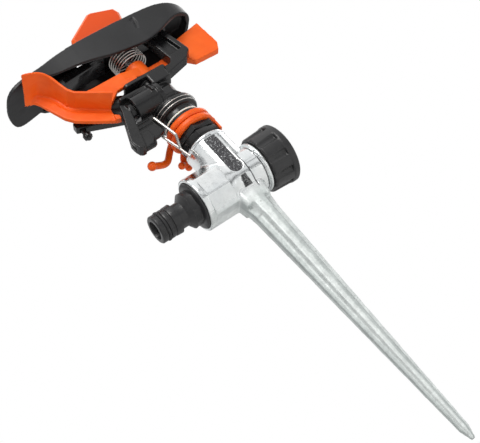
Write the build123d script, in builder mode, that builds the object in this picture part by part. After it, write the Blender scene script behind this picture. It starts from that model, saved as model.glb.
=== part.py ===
from build123d import *
import math
import os

# Impact sprinkler on a cast ground spike.
# Millimetres, +Z up along the swivel axis, +X along the hose line towards the
# hose connector, origin where the two axes cross inside the casting.
# The nozzle also points towards +X. Plane.XZ faces -Y, so a sketch at
# Plane.XZ.offset(-y) lies at y, and a positive extrusion runs towards -Y.

os.makedirs("parts", exist_ok=True)

# ---------------------------------------------------------------- dimensions
# casting
BARREL_TOP_Z = 26.5
BARREL_TOP_R = 12.4
BARREL_LOW_R = 13.1
BARREL_BORE_R = 9.6
TUBE_R = 13.0  # round neck of the cross tube
SOCKET_R = 15.2  # across the corners of the octagonal inlet socket
SOCKET_START_X = 9.0
SOCKET_END_X = 26.8
SOCKET_FLOOR_X = 12.0
SOCKET_BORE_R = 13.25
COLLAR_X = -14.5  # collar against which the end cap closes
SPIGOT_END_X = -27.4
SPIGOT_R = 12.9  # male 3/4 in pipe thread at the closed end
THREAD_PITCH = 1.75
ROOT_TOP_Z, ROOT_LOW_Z = -10.0, -26.0  # flared root of the blade
BLADE_LOW_Z = -170.0
BLADE_LOW_SPAN = 5.4
SPIKE_TIP_Z = -176.1
PASSAGE_R = 8.6
NIPPLE_THREAD_R = 10.35

# end cap
CAP_R = 17.0
CAP_OPEN_X, CAP_FACE_X = -15.0, -30.65
CAP_WALL = 1.9
CAP_BORE_R = 13.35

# swivel bearing
SLEEVE_R = 11.0
SLEEVE_Z, SLEEVE_TOP_Z = 35.8, 46.3
HEX_ACROSS_FLATS = 21.8
HEX_Z = 27.5
SWIVEL_R = 6.4
SWIVEL_LOW_Z, SWIVEL_TOP_Z = 12.4, 61.6
WATERWAY_R = 4.9  # inside the swivel tube
THRUST_BORE_R = 6.5  # washers and seal on the swivel tube
RING_IN_R = 11.08  # stop collars
RING_OUT_R = 13.9

# head
BODY_SKIRT_R = 13.7
NOZZLE_Z = 64.5
NOZZLE_TILT = math.radians(28.6)  # above level
NOZZLE_REACH = 40.5  # along X
NOZZLE_LEN = NOZZLE_REACH / math.cos(NOZZLE_TILT)
NOZZLE_R = 5.8
INSERT_LEN = 8.9
SHELF_Z = 76.6
BRIDGE_Y = 9.0  # +Y face of the bridge
BRIDGE_WIDTH = 7.0
BRIDGE_BEAM_Z = 104.0
BRIDGE_BEAM_T = 4.0
BRIDGE_TOP_Z = BRIDGE_BEAM_Z + BRIDGE_BEAM_T
PIN_R = 2.0  # arm pin
PIN_BORE_R = PIN_R + 0.05
JET_SCREW_X = 46.3
JET_SCREW_HEAD_Z = 68.4
JET_SCREW_HEAD_H = 2.4

# trip lever
TRIP_Y, TRIP_Z = 8.2, 63.6  # its axis runs along X
TRIP_PIN_R = 1.5

# drive arm
ARM_Z = 82.0
BUSHING_R = 3.18

# hood
HOOD_T = 2.0
HOOD_SCREWS = ((-26.6, -1.6), (-20.2, -1.6))
LEVER_PIVOT = (-13.0, 109.6)  # x and z of the range lever's cross pivot


# ------------------------------------------------------------------- helpers
def save(builder, name):
    """Label a finished piece and write its STEP file."""
    builder.part.label = name
    export_step(builder.part, f"parts/{name}.step")


def ring_piece(name, plane, outer_r, inner_r, thickness):
    """Build and save a plain washer, seal or bush standing on a plane."""
    with BuildPart() as ring:
        with BuildSketch(plane):
            Circle(outer_r)
            Circle(inner_r, mode=Mode.SUBTRACT)
        extrude(amount=thickness)
    save(ring, name)


def plane_at_start(path):
    """Plane square to a path at its first point."""
    return Plane(origin=path @ 0, z_dir=path % 0)


def coil_spring(name, wire_r, pitch, height, radius, center, direction=(0, 0, 1)):
    """Build and save a helical spring."""
    with BuildPart() as spring:
        with BuildLine() as coil:
            Helix(pitch=pitch, height=height, radius=radius, center=center, direction=direction)
        with BuildSketch(plane_at_start(coil.line)):
            Circle(wire_r)
        sweep(is_frenet=True)
    save(spring, name)


def polar(radius, degrees):
    """Flat point at a radius and an angle."""
    angle = math.radians(degrees)
    return (radius * math.cos(angle), radius * math.sin(angle))


# ================================================================== BASE
# -------------------------------------------------- spike body (zinc casting)
def fin_star(span):
    """Corners of a four-finned section with drafted flanks."""
    tip, half_width, valley = span / 2, span * 0.205, span * 0.265
    one_fin = [(tip, -half_width), (tip, half_width), (valley, valley)]
    return [
        (x * cosine - y * sine, x * sine + y * cosine)
        for cosine, sine in ((1, 0), (0, 1), (-1, 0), (0, -1))
        for x, y in one_fin
    ]


def finned_taper(*stations):
    """Finned solid between two (z, span) stations."""
    with BuildPart() as taper:
        for level, span in stations:
            with BuildSketch(Plane.XY.offset(level)):
                with BuildLine():
                    Polyline(*fin_star(span), close=True)
                make_face()
        loft(ruled=True)
    return taper.part


spike_blade = finned_taper((-8.0, 15.2), (BLADE_LOW_Z, BLADE_LOW_SPAN))
spike_point = finned_taper((BLADE_LOW_Z + 0.1, BLADE_LOW_SPAN), (SPIKE_TIP_Z, 2.2))

SOCKET_RIM = 3.4  # length of the round rim of the socket
PANEL_WIDTH = 7.4
GROOVE_WIDTH = 0.7
# the trapezoid recess faces +Y and downwards
RECESS_SLOPE = math.radians(38)
RECESS_DISTANCE = 12.2
RECESS_NORMAL = (0, math.cos(RECESS_SLOPE), -math.sin(RECESS_SLOPE))
RECESS_ORIGIN = tuple(RECESS_DISTANCE * part for part in RECESS_NORMAL)
RECESS = [(-2.4, -2.3), (2.4, -2.3), (1.5, 2.5), (-1.5, 2.5)]

with BuildPart() as spike_body:
    # cross tube, round neck
    with BuildSketch(Plane.YZ.offset(COLLAR_X)):
        Circle(TUBE_R)
    extrude(amount=8.0 - COLLAR_X)
    # octagonal inlet socket, its round rim, and a short cone on its -X side
    with BuildSketch(Plane.YZ.offset(SOCKET_START_X)):
        RegularPolygon(SOCKET_R, 8, rotation=22.5)
    extrude(amount=SOCKET_END_X - SOCKET_START_X - 3.2)
    with BuildSketch(Plane.YZ.offset(SOCKET_END_X - SOCKET_RIM)):
        Circle(SOCKET_R - 0.1)
    extrude(amount=SOCKET_RIM)
    with BuildSketch(Plane.YZ.offset(5.2)):
        Circle(TUBE_R - 0.2)
    with BuildSketch(Plane.YZ.offset(9.2)):
        Circle(SOCKET_R - 1.15)
    loft()
    # thin collar against which the end cap closes
    with BuildSketch(Plane.YZ.offset(COLLAR_X)):
        Circle(14.4)
    extrude(amount=1.6)
    # spigot for the end cap
    with BuildSketch(Plane.YZ.offset(SPIGOT_END_X)):
        Circle(SPIGOT_R)
    extrude(amount=13.2)
    # thread rings on the spigot
    for k in range(6):
        with BuildSketch(Plane.YZ.offset(-16.9 - THREAD_PITCH * k)):
            Circle(SPIGOT_R + 0.3)
            Circle(SPIGOT_R - 1.5, mode=Mode.SUBTRACT)
        extrude(amount=0.8)
    # upright barrel with a lip at the top
    with BuildSketch(Plane.XY):
        Circle(BARREL_LOW_R)
    with BuildSketch(Plane.XY.offset(BARREL_TOP_Z)):
        Circle(BARREL_TOP_R)
    loft()
    with BuildSketch(Plane.XY.offset(BARREL_TOP_Z - 1.4)):
        Circle(BARREL_TOP_R + 0.35)
    extrude(amount=1.4)
    # blade root, flared into the tube
    with BuildSketch(Plane.XY.offset(ROOT_TOP_Z)):
        RectangleRounded(18.0, 16.6, 3.0)
    with BuildSketch(Plane.XY.offset(ROOT_LOW_Z)):
        RectangleRounded(14.0, 13.2, 3.0)
    loft()
    add(spike_blade)
    add(spike_point)
    # parting grooves round the neck
    for groove_x in (-4.9, -12.5):
        with BuildSketch(Plane.YZ.offset(groove_x)):
            Circle(TUBE_R + 3)
            Circle(TUBE_R - 0.6, mode=Mode.SUBTRACT)
            if groove_x > -6:  # stops where the barrel wall begins
                with Locations((0, 14.4)):
                    Rectangle(40, 20, mode=Mode.SUBTRACT)
        extrude(amount=GROOVE_WIDTH, mode=Mode.SUBTRACT)
    # parting seam along the +Y side of the neck
    with BuildSketch(Plane.YZ.offset(-12.4)):
        with Locations((TUBE_R, 0)):
            Rectangle(0.8, 0.45)
    extrude(amount=8.0, mode=Mode.SUBTRACT)
    # four scallops that turn the flared root into fins
    for side_x in (-1, 1):
        for side_y in (-1, 1):
            with BuildSketch(Plane.XY.offset(-40.0)):
                with Locations((side_x * 7.6, side_y * 7.4)):
                    Circle(4.3)
            extrude(amount=21.0, mode=Mode.SUBTRACT)
    # recessed panel on the +Y side of the barrel, rounded at its lower end
    with BuildSketch(Plane.XZ.offset(-11.75)):
        with Locations((0, 12.6)):
            Rectangle(PANEL_WIDTH, 22.8)
        with Locations((0, 1.2)):
            Circle(PANEL_WIDTH / 2)
    extrude(amount=-6.0, mode=Mode.SUBTRACT)
    # small trapezoid recess below the panel
    with BuildSketch(Plane(origin=RECESS_ORIGIN, x_dir=(1, 0, 0), z_dir=RECESS_NORMAL)):
        with BuildLine():
            Polyline(*RECESS, close=True)
        make_face()
    extrude(amount=5.0, mode=Mode.SUBTRACT)
    # inlet socket bore, water passage, barrel bore and nipple thread bore
    with BuildSketch(Plane.YZ.offset(SOCKET_FLOOR_X)):
        Circle(SOCKET_BORE_R)
    extrude(amount=SOCKET_END_X - SOCKET_FLOOR_X + 1.0, mode=Mode.SUBTRACT)
    with BuildSketch(Plane.YZ.offset(SPIGOT_END_X - 0.2)):
        Circle(PASSAGE_R)
    extrude(amount=45.0, mode=Mode.SUBTRACT)
    with BuildSketch(Plane.XY):
        Circle(BARREL_BORE_R)
    extrude(amount=BARREL_TOP_Z + 1.0, mode=Mode.SUBTRACT)
    with BuildSketch(Plane.XY.offset(15.4)):
        Circle(NIPPLE_THREAD_R + 0.05)
    extrude(amount=BARREL_TOP_Z, mode=Mode.SUBTRACT)
save(spike_body, "spike_body")

# ------------------------------------------------------------ hose connector
FLATS_X, FLATS_END_X = 28.3, 32.2
CONNECTOR_BORE_R = 5.2
# x, radius: threaded stub, flange, gripping body, snap collar and nose
CONNECTOR_PROFILE = [
    (14.2, CONNECTOR_BORE_R), (14.2, 13.0), (15.2, 13.2), (27.4, 13.2), (27.8, 12.4),
    (FLATS_X, 10.2), (FLATS_END_X, 10.2), (34.9, 6.9), (39.3, 6.9), (39.7, 8.3),
    (43.2, 8.1), (43.5, 7.4), (44.1, 7.4), (44.4, 8.0), (46.4, 8.0), (46.4, 6.5),
    (48.6, 6.5), (48.6, 7.8), (51.2, 7.8), (51.8, 7.2), (51.8, CONNECTOR_BORE_R),
]

with BuildPart() as hose_connector:
    with BuildSketch(Plane.XZ):
        with BuildLine():
            Polyline(*CONNECTOR_PROFILE, close=True)
        make_face()
    revolve(axis=Axis.X)
    # octagonal spanner flats on the body
    with BuildSketch(Plane.YZ.offset(FLATS_X)):
        Circle(12)
        RegularPolygon(10.1, 8, rotation=10, mode=Mode.SUBTRACT)
    extrude(amount=FLATS_END_X - FLATS_X, mode=Mode.SUBTRACT)
save(hose_connector, "hose_connector")

with BuildPart() as connector_o_ring:
    with BuildSketch(Plane.XZ):
        with Locations((47.5, 7.43)):
            Circle(0.9)
    revolve(axis=Axis.X)
save(connector_o_ring, "connector_o_ring")

ring_piece(
    "connector_washer",
    Plane.YZ.offset(SOCKET_FLOOR_X + 0.05),
    outer_r=12.9,
    inner_r=8.8,
    thickness=2.1,
)

# ------------------------------------------------------------ bearing nipple
# radius, z of the cut that turns the lower corners of the hexagon
HEX_CORNER_CUT = [(12.1, 27.0), (12.7, 28.0), (16, 28.0), (16, 27.0)]

with BuildPart() as bearing_nipple:
    with BuildSketch(Plane.XY.offset(16.2)):
        Circle(NIPPLE_THREAD_R)
    extrude(amount=11.0)
    # two-tier hexagon with a groove between the tiers
    with BuildSketch(Plane.XY.offset(HEX_Z)):
        RegularPolygon(HEX_ACROSS_FLATS / 2, 6, major_radius=False, rotation=17)
    extrude(amount=8.4)
    with BuildSketch(Plane.XY.offset(HEX_Z - 0.4)):
        Circle(10.8)
    extrude(amount=0.6)
    with BuildSketch(Plane.XY.offset(31.2)):
        Circle(16)
        Circle(10.6, mode=Mode.SUBTRACT)
    extrude(amount=1.1, mode=Mode.SUBTRACT)
    with BuildSketch(Plane.XZ):
        with BuildLine():
            Polyline(*HEX_CORNER_CUT, close=True)
        make_face()
    revolve(axis=Axis.Z, mode=Mode.SUBTRACT)
    # sleeve that carries the stop collars
    with BuildSketch(Plane.XY.offset(SLEEVE_Z)):
        Circle(SLEEVE_R)
    extrude(amount=SLEEVE_TOP_Z - SLEEVE_Z)
    # running bore for the swivel tube
    with BuildSketch(Plane.XY.offset(16.0)):
        Circle(SWIVEL_R + 0.08)
    extrude(amount=31.0, mode=Mode.SUBTRACT)
save(bearing_nipple, "bearing_nipple")

ring_piece(
    "nipple_seal",
    Plane.XY.offset(BARREL_TOP_Z + 0.02),
    outer_r=12.2,
    inner_r=NIPPLE_THREAD_R + 0.1,
    thickness=0.55,
)

# ================================================================ END CAP
FLUTE_COUNT = 10
# x, radius: from the open rim over the grip and round the closed face
CAP_PROFILE = [
    (CAP_OPEN_X, CAP_BORE_R), (CAP_OPEN_X, 15.3), (CAP_OPEN_X - 0.7, 16.0),
    (CAP_FACE_X + 4.2, 16.6), (CAP_FACE_X + 3.6, CAP_R), (CAP_FACE_X + 0.9, CAP_R),
    (CAP_FACE_X, 16.0), (CAP_FACE_X, 0.0), (CAP_FACE_X + CAP_WALL, 0.0),
    (CAP_FACE_X + CAP_WALL, CAP_BORE_R),
]

with BuildPart() as end_cap:
    with BuildSketch(Plane.XZ):
        with BuildLine():
            Polyline(*CAP_PROFILE, close=True)
        make_face()
    revolve(axis=Axis.X)
    # flutes for the fingers
    for k in range(FLUTE_COUNT):
        with BuildSketch(Plane.YZ.offset(CAP_FACE_X + 4.4)):
            with Locations(polar(18.0, 360.0 / FLUTE_COUNT * k + 6)):
                Circle(2.9)
        extrude(amount=14.0, mode=Mode.SUBTRACT)
    # shallow dish in the outer face
    with BuildSketch(Plane.YZ.offset(CAP_FACE_X)):
        Circle(12.4)
    extrude(amount=0.7, mode=Mode.SUBTRACT)
save(end_cap, "end_cap")

ring_piece(
    "end_cap_seal",
    Plane.YZ.offset(CAP_FACE_X + CAP_WALL + 0.05),
    outer_r=12.6,
    inner_r=8.8,
    thickness=1.2,
)


# ============================================================ STOP COLLARS
def collar_profile(low_z, top_z):
    """Radius, z section of a stop collar with bevelled outer edges."""
    bevel_r = RING_OUT_R - 0.9
    return [
        (RING_IN_R, low_z), (bevel_r, low_z), (RING_OUT_R, low_z + 1.0),
        (RING_OUT_R, top_z - 1.0), (bevel_r, top_z), (RING_IN_R, top_z),
    ]


LOWER_RING_Z, LOWER_RING_TOP_Z = 36.1, 39.9
UPPER_RING_Z, UPPER_RING_TOP_Z = 40.2, 43.8
FINGER_END = (29.7, -0.8, 33.7)
FINGER_PATH = [
    (11.4, -6.6, 41.9), (14.9, -8.4, 39.0), (18.6, -8.2, 35.6), (24.2, -4.8, 33.8), FINGER_END
]
TAB_PATH = [(5.2, -11.8, 38.0), (7.8, -14.4, 35.6), (9.0, -15.6, 32.9)]
LOBE_ROOT = (8.8, -15.4, 34.0)
LOBE_ENDS = ((11.9, -13.2, 31.6), (7.4, -18.2, 31.4))

# upper collar: sprung ring with a long drooping finger
with BuildPart() as upper_collar:
    with BuildSketch(Plane.XZ):
        with BuildLine():
            Polyline(*collar_profile(UPPER_RING_Z, UPPER_RING_TOP_Z), close=True)
        make_face()
    revolve(axis=Axis.Z)
    with BuildLine() as finger_line:
        Spline(*FINGER_PATH)
    with BuildSketch(plane_at_start(finger_line.line)):
        Circle(1.95)
    sweep(is_frenet=True)
    with Locations(FINGER_END):
        Sphere(2.6)
    # keep the running bore clear
    with BuildSketch(Plane.XY.offset(36.0)):
        Circle(RING_IN_R)
    extrude(amount=12.0, mode=Mode.SUBTRACT)
    # the finger passes beside, not through, the lower collar
    with BuildSketch(Plane.XY.offset(34.0)):
        Circle(RING_OUT_R + 0.25)
    extrude(amount=UPPER_RING_Z - 0.1 - 34.0, mode=Mode.SUBTRACT)
save(upper_collar, "upper_collar")

# lower collar: a similar ring with a short two-lobed tab
with BuildPart() as lower_collar:
    with BuildSketch(Plane.XZ):
        with BuildLine():
            Polyline(*collar_profile(LOWER_RING_Z, LOWER_RING_TOP_Z), close=True)
        make_face()
    revolve(axis=Axis.Z)
    with BuildLine() as tab_line:
        Spline(*TAB_PATH)
    with BuildSketch(plane_at_start(tab_line.line)):
        Circle(1.9)
    sweep(is_frenet=True)
    for lobe_end in LOBE_ENDS:
        with BuildLine() as lobe_line:
            Line(LOBE_ROOT, lobe_end)
        with BuildSketch(plane_at_start(lobe_line.line)):
            Circle(1.7)
        sweep()
    with Locations(*LOBE_ENDS):
        Sphere(2.1)
    # keep the running bore clear
    with BuildSketch(Plane.XY.offset(34.0)):
        Circle(RING_IN_R)
    extrude(amount=12.0, mode=Mode.SUBTRACT)
    # short drooping tab on the -X side
    with BuildSketch(Plane.XY.offset(30.6)):
        with Locations((-13.75, 0)):
            RectangleRounded(1.5, 5.0, 0.7)
    extrude(amount=7.4)
    with BuildSketch(Plane.XY.offset(37.0)):
        with Locations((-13.4, 0)):
            RectangleRounded(2.2, 6.4, 0.8)
    extrude(amount=1.8)
    # clear the space under the ring
    with BuildSketch(Plane.XY.offset(30.0)):
        Circle(12.95)
    extrude(amount=LOWER_RING_Z - 30.0, mode=Mode.SUBTRACT)
save(lower_collar, "lower_collar")

# ==================================================================== HEAD
FLANGE_T = 1.4  # at the foot of the swivel tube

with BuildPart() as swivel_tube:
    with BuildSketch(Plane.XY.offset(SWIVEL_LOW_Z)):
        Circle(SWIVEL_R)
    extrude(amount=SWIVEL_TOP_Z - SWIVEL_LOW_Z)
    with BuildSketch(Plane.XY.offset(SWIVEL_LOW_Z)):
        Circle(8.7)
    extrude(amount=FLANGE_T)
    with BuildSketch(Plane.XY.offset(SWIVEL_LOW_Z - 0.4)):
        Circle(WATERWAY_R)
    extrude(amount=60.0, mode=Mode.SUBTRACT)
save(swivel_tube, "swivel_tube")

# name, z, outer radius, thickness
for name, level, outer_r, thickness in (
    ("lower_thrust_washer", SWIVEL_LOW_Z + FLANGE_T + 0.05, 8.8, 0.9),
    ("swivel_seal", 14.8, 9.1, 1.35),
    ("upper_thrust_washer", SLEEVE_TOP_Z + 0.1, 11.25, 0.9),
):
    ring_piece(name, Plane.XY.offset(level), outer_r, THRUST_BORE_R, thickness)

coil_spring(
    "bearing_spring", wire_r=0.6, pitch=2.0, height=6.0, radius=7.7, center=(0, 0, 48.3)
)

# -------------------------------------------------- sprinkler body and nozzle
nozzle_plane = Plane(
    origin=(0, 0, NOZZLE_Z),
    x_dir=(0, 1, 0),
    z_dir=Vector(math.cos(NOZZLE_TILT), 0, math.sin(NOZZLE_TILT)),
)

# radius, z: bearing neck, bell skirt and column
BODY_PROFILE = [
    (0, 47.4), (10.9, 47.4), (10.9, 50.2), (12.4, 50.6), (13.1, 51.2),
    (BODY_SKIRT_R, 53.8), (13.4, 56.0), (12.6, 57.4), (10.6, 59.6), (9.6, 62.4),
    (9.6, 79.0), (0, 79.0),
]
SKIRT_GROOVES = ((51.9, 12.7), (54.3, 12.95))  # z, floor radius
KEEL_WIDTH = 5.0
# x, z: keel under the nozzle, with the boss for the jet screw
KEEL = [
    (6, 57.5), (15, 61.2), (26.8, 66.0), (46.3, 74.2), (49.3, 75.6), (49.3, 79.2),
    (43.6, 81.6), (20, 74), (6, 68),
]
TRIP_BLOCK_R = 7.5
# x, y: roof lip of the trip housing
ROOF_LIP = [(8.0, 4.0), (8.0, 13.4), (24.2, 14.2), (24.2, 6.2), (18.0, 4.0)]
# radius, z: gusset ribs round the column, and their headings in degrees
GUSSET = [(8.0, 55.0), (13.0, 55.0), (12.8, 57.2), (10.2, 64.0), (8.0, 66.0)]
GUSSET_T = 1.4
GUSSET_ANGLES = (20, 62, 118, 165, 205, 250, 295, 335)
# x, z: parts of the bridge
BRIDGE_LIMB = [
    (-2.0, 68.0), (-5.0, 72.2), (-25.2, 77.0), (-29.6, 82.0), (-18.0, 81.0),
    (-14.4, 78.8), (-2.0, 78.8),
]
BRIDGE_ROOT = [(-2.0, 73.5), (-13.0, 75.4), (-13.0, 78.8), (-2.0, 78.8)]
BRIDGE_UPRIGHT = [
    (-28.8, 80.3), (-29.6, 82.0), (-25.4, 104.0), (-25.2, 108.0), (-13.6, 108.0),
    (-13.6, 104.0), (-17.0, 81.6), (-15.4, 79.4),
]
UPRIGHT_POCKET = [(-26.2, 84.2), (-22.6, 101.5), (-16.6, 101.5), (-18.6, 84.2)]

with BuildPart() as sprinkler_body:
    with BuildSketch(Plane.XZ):
        with BuildLine():
            Polyline(*BODY_PROFILE, close=True)
        make_face()
    revolve(axis=Axis.Z)
    # two narrow grooves round the skirt
    for level, floor_r in SKIRT_GROOVES:
        with BuildSketch(Plane.XY.offset(level)):
            Circle(BODY_SKIRT_R + 1.0)
            Circle(floor_r, mode=Mode.SUBTRACT)
        extrude(amount=0.55, mode=Mode.SUBTRACT)
    # nozzle tube, thicker at its root
    with BuildSketch(nozzle_plane):
        Circle(NOZZLE_R + 1.2)
    extrude(amount=16.0)
    with BuildSketch(nozzle_plane):
        Circle(NOZZLE_R)
    extrude(amount=NOZZLE_LEN)
    with BuildSketch(Plane.XZ.offset(-KEEL_WIDTH / 2)):
        with BuildLine():
            Polyline(*KEEL, close=True)
        make_face()
    extrude(amount=KEEL_WIDTH)
    # trip housing: a half-round block along the +Y side of the body
    with BuildSketch(Plane.YZ.offset(3.4)):
        with Locations((TRIP_Y, TRIP_Z)):
            Circle(TRIP_BLOCK_R)
        with Locations((TRIP_Y - 3.6, TRIP_Z)):
            Rectangle(7.2, 2 * TRIP_BLOCK_R)
    extrude(amount=16.8)
    # block above the -X end of the trip housing, and a rounded one below it
    with BuildSketch(Plane.XY.offset(70.0)):
        with Locations((-3.2, 7.6)):
            RectangleRounded(12.0, 9.0, 1.5)
    extrude(amount=8.4)
    with BuildSketch(Plane.YZ.offset(-4.6)):
        with Locations((5.6, 63.0)):
            RectangleRounded(10.0, 8.0, 2.0)
    extrude(amount=8.2)
    # roof lip of the trip housing, over the lever horn
    with BuildSketch(Plane.XY.offset(69.4)):
        with BuildLine():
            Polyline(*ROOF_LIP, close=True)
        make_face()
    extrude(amount=1.8)
    # round step at the -X end of the housing
    with BuildSketch(Plane.YZ.offset(2.4)):
        with Locations((TRIP_Y, TRIP_Z)):
            Circle(8.2)
    extrude(amount=2.6)
    # arched rib over the upper +Y side of the housing
    with BuildSketch(Plane.YZ.offset(6.4)):
        with Locations((TRIP_Y, TRIP_Z)):
            Circle(9.0)
            Circle(7.6, mode=Mode.SUBTRACT)
            with Locations((0, -6.0)):
                Rectangle(30, 12.4, mode=Mode.SUBTRACT)
            with Locations((-8.0, 0)):
                Rectangle(12.0, 30, mode=Mode.SUBTRACT)
    extrude(amount=1.2)
    # gusset ribs between the skirt and the column
    for angle in GUSSET_ANGLES:
        with BuildSketch(Plane.XZ.rotated((0, 0, angle)).offset(-GUSSET_T / 2)):
            with BuildLine():
                Polyline(*GUSSET, close=True)
            make_face()
        extrude(amount=GUSSET_T)
    # shelf under the arm
    with BuildSketch(Plane.XY.offset(SHELF_Z)):
        with Locations((3.0, 1.9)):
            RectangleRounded(27.0, 20.2, 2.0)
    extrude(amount=2.2)
    # arm seat
    with BuildSketch(Plane.XY.offset(SHELF_Z)):
        Circle(6.6)
    extrude(amount=4.4)
    # bridge: lower limb, its root, and the upright on the +Y side only, since
    # the arm strikes the flank of the upright
    for profile, width in (
        (BRIDGE_LIMB, BRIDGE_WIDTH),
        (BRIDGE_ROOT, 13.0),
        (BRIDGE_UPRIGHT, BRIDGE_WIDTH),
    ):
        with BuildSketch(Plane.XZ.offset(-BRIDGE_Y)):
            with BuildLine():
                Polyline(*profile, close=True)
            make_face()
        extrude(amount=width)
    # recessed pocket in the +Y face of the upright
    with BuildSketch(Plane.XZ.offset(-BRIDGE_Y)):
        with BuildLine():
            Polyline(*UPRIGHT_POCKET, close=True)
        make_face()
    extrude(amount=2.6, mode=Mode.SUBTRACT)
    # bridge top beam
    with BuildSketch(Plane.XY.offset(BRIDGE_BEAM_Z)):
        with Locations((-11.6, 1.8)):
            RectangleRounded(36.0, 14.4, 3.0)
    extrude(amount=BRIDGE_BEAM_T)
    # seat for the arm spring in the beam
    with BuildSketch(Plane.XY.offset(BRIDGE_BEAM_Z - 2.0)):
        Circle(10.4)
    extrude(amount=3.7, mode=Mode.SUBTRACT)
    # skirt hollow for the bearing spring
    with BuildSketch(Plane.XY.offset(47.0)):
        Circle(9.0)
    extrude(amount=8.4, mode=Mode.SUBTRACT)
    # socket for the swivel tube and the water way above it
    with BuildSketch(Plane.XY.offset(55.0)):
        Circle(SWIVEL_R + 0.02)
    extrude(amount=6.8, mode=Mode.SUBTRACT)
    with BuildSketch(Plane.XY.offset(61.0)):
        Circle(WATERWAY_R)
    extrude(amount=6.0, mode=Mode.SUBTRACT)
    # nozzle water way and the seat of the insert
    with BuildSketch(nozzle_plane):
        Circle(3.4)
    extrude(amount=NOZZLE_LEN + 2, mode=Mode.SUBTRACT)
    with BuildSketch(nozzle_plane.offset(NOZZLE_LEN - 9.0)):
        Circle(4.32)
    extrude(amount=12.0, mode=Mode.SUBTRACT)
    # arm pin, from the seat up through the bridge
    with BuildSketch(Plane.XY.offset(72.6)):
        Circle(PIN_R + 0.02)
    extrude(amount=40.0, mode=Mode.SUBTRACT)
    # trip pin, and the pocket of its spring
    with BuildSketch(Plane.YZ.offset(9.4)):
        with Locations((TRIP_Y, TRIP_Z)):
            Circle(TRIP_PIN_R + 0.06)
    extrude(amount=14.0, mode=Mode.SUBTRACT)
    with BuildSketch(Plane.YZ.offset(16.0)):
        with Locations((TRIP_Y, TRIP_Z)):
            Circle(4.4)
    extrude(amount=6.0, mode=Mode.SUBTRACT)
    # jet screw
    with BuildSketch(Plane.XY.offset(70.0)):
        with Locations((JET_SCREW_X, 0)):
            Circle(1.56)
    extrude(amount=14.0, mode=Mode.SUBTRACT)
    # hood screws
    with BuildSketch(Plane.XY.offset(BRIDGE_BEAM_Z - 1.0)):
        with Locations(*HOOD_SCREWS):
            Circle(1.6)
    extrude(amount=6.0, mode=Mode.SUBTRACT)
save(sprinkler_body, "sprinkler_body")

with BuildPart() as nozzle_insert:
    with BuildSketch(nozzle_plane.offset(NOZZLE_LEN - INSERT_LEN)):
        Circle(4.3)
    extrude(amount=INSERT_LEN)
    with BuildSketch(nozzle_plane.offset(NOZZLE_LEN)):
        Circle(4.0)
    extrude(amount=1.6)
    with BuildSketch(nozzle_plane.offset(NOZZLE_LEN - 9.0)):
        Circle(2.1)
    extrude(amount=12.0, mode=Mode.SUBTRACT)
save(nozzle_insert, "nozzle_insert")

# ------------------------------------------------------------- arm pivot set
ARM_PIN_Z, ARM_PIN_TOP_Z = 72.7, 108.2

with BuildPart() as arm_pin:
    with BuildSketch(Plane.XY.offset(ARM_PIN_Z)):
        Circle(PIN_R)
    extrude(amount=ARM_PIN_TOP_Z - ARM_PIN_Z)
    # head on top of the bridge
    with BuildSketch(Plane.XY.offset(BRIDGE_TOP_Z + 0.05)):
        Circle(3.0)
    extrude(amount=0.9)
save(arm_pin, "arm_pin")

ring_piece(
    "arm_washer", Plane.XY.offset(81.05), outer_r=5.6, inner_r=PIN_BORE_R, thickness=0.8
)

coil_spring(
    "arm_spring", wire_r=0.38, pitch=1.85, height=10.9, radius=9.35, center=(0, 0, 94.2)
)

# ------------------------------------------------------------------- hood
# x, y: outer plan, a closed spline
HOOD_OUTLINE = [
    (-46.8, 0.0), (-44.8, 8.0), (-37.4, 13.6), (-24.0, 15.4), (0.0, 15.6),
    (26.0, 15.6), (48.0, 15.8), (61.6, 17.2), (68.6, 14.6), (72.4, 5.2),
    (72.4, -6.0), (68.4, -14.4), (60.0, -16.2), (48.0, -15.8), (26.0, -15.6),
    (0.0, -15.6), (-24.0, -15.4), (-37.4, -13.6), (-44.8, -8.0),
]
# x, y: +Y half of the hollow's plan
HOLLOW_HALF = [
    (-43.0, 7.0), (-36.4, 11.7), (-24.0, 13.4), (0.0, 13.6), (26.0, 13.6),
    (47.6, 13.8), (51.8, 13.8),
]
HOLLOW_OUTLINE = [(-44.7, 0.0), *HOLLOW_HALF, *((x, -y) for x, y in reversed(HOLLOW_HALF))]
# x, z: top of the roof from the tail to the tip of the peak
ROOF = [
    (-49.0, 108.6), (-44.0, 110.6), (-36.0, 113.2), (-24.6, 115.4), (-9.8, 116.2),
    (8.0, 116.4), (23.7, 116.2), (38.4, 114.8), (51.5, 111.8), (62.0, 109.6),
    (74.0, 107.6),
]
ROOF_UNDERSIDE = [(x, z - HOOD_T) for x, z in ROOF]
# x, z: underside of the peak over the nozzle, 2.2 thick
PEAK_UNDERSIDE = [(x, z - 2.2) for x, z in (ROOF[-1], ROOF[-2], (53.0, 111.3))]
# x, z: lower edge of the skirt from the peak to the tail
SKIRT_EDGE = [
    (51.6, 107.4), (49.2, 106.2), (46.3, 105.1), (31.7, 103.0), (20.0, 100.6),
    (9.7, 97.7), (-1.7, 95.9), (-11.0, 95.1), (-18.7, 96.2), (-26.0, 98.6),
    (-33.4, 101.4), (-42.0, 103.2), (-49.0, 104.0),
]
HOOD_BLANK_Z, HOOD_BLANK_H = 80, 50
HOOD_HALF_WIDTH = 40  # side profiles reach past the plan on both sides
HOLLOW_LOW_Z = 60.0
# x, z: L-shaped mark, and the y where its cut starts on each side
PIVOT_MARK = [
    (-14.4, 113.8), (-11.0, 112.6), (-11.4, 110.6), (-12.6, 110.6), (-11.2, 105.4),
    (-12.6, 104.8), (-14.6, 110.2),
]
PIVOT_MARK_Y = (16.4, -15.05)
PIVOT_HOLE_Y = 14.75

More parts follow.
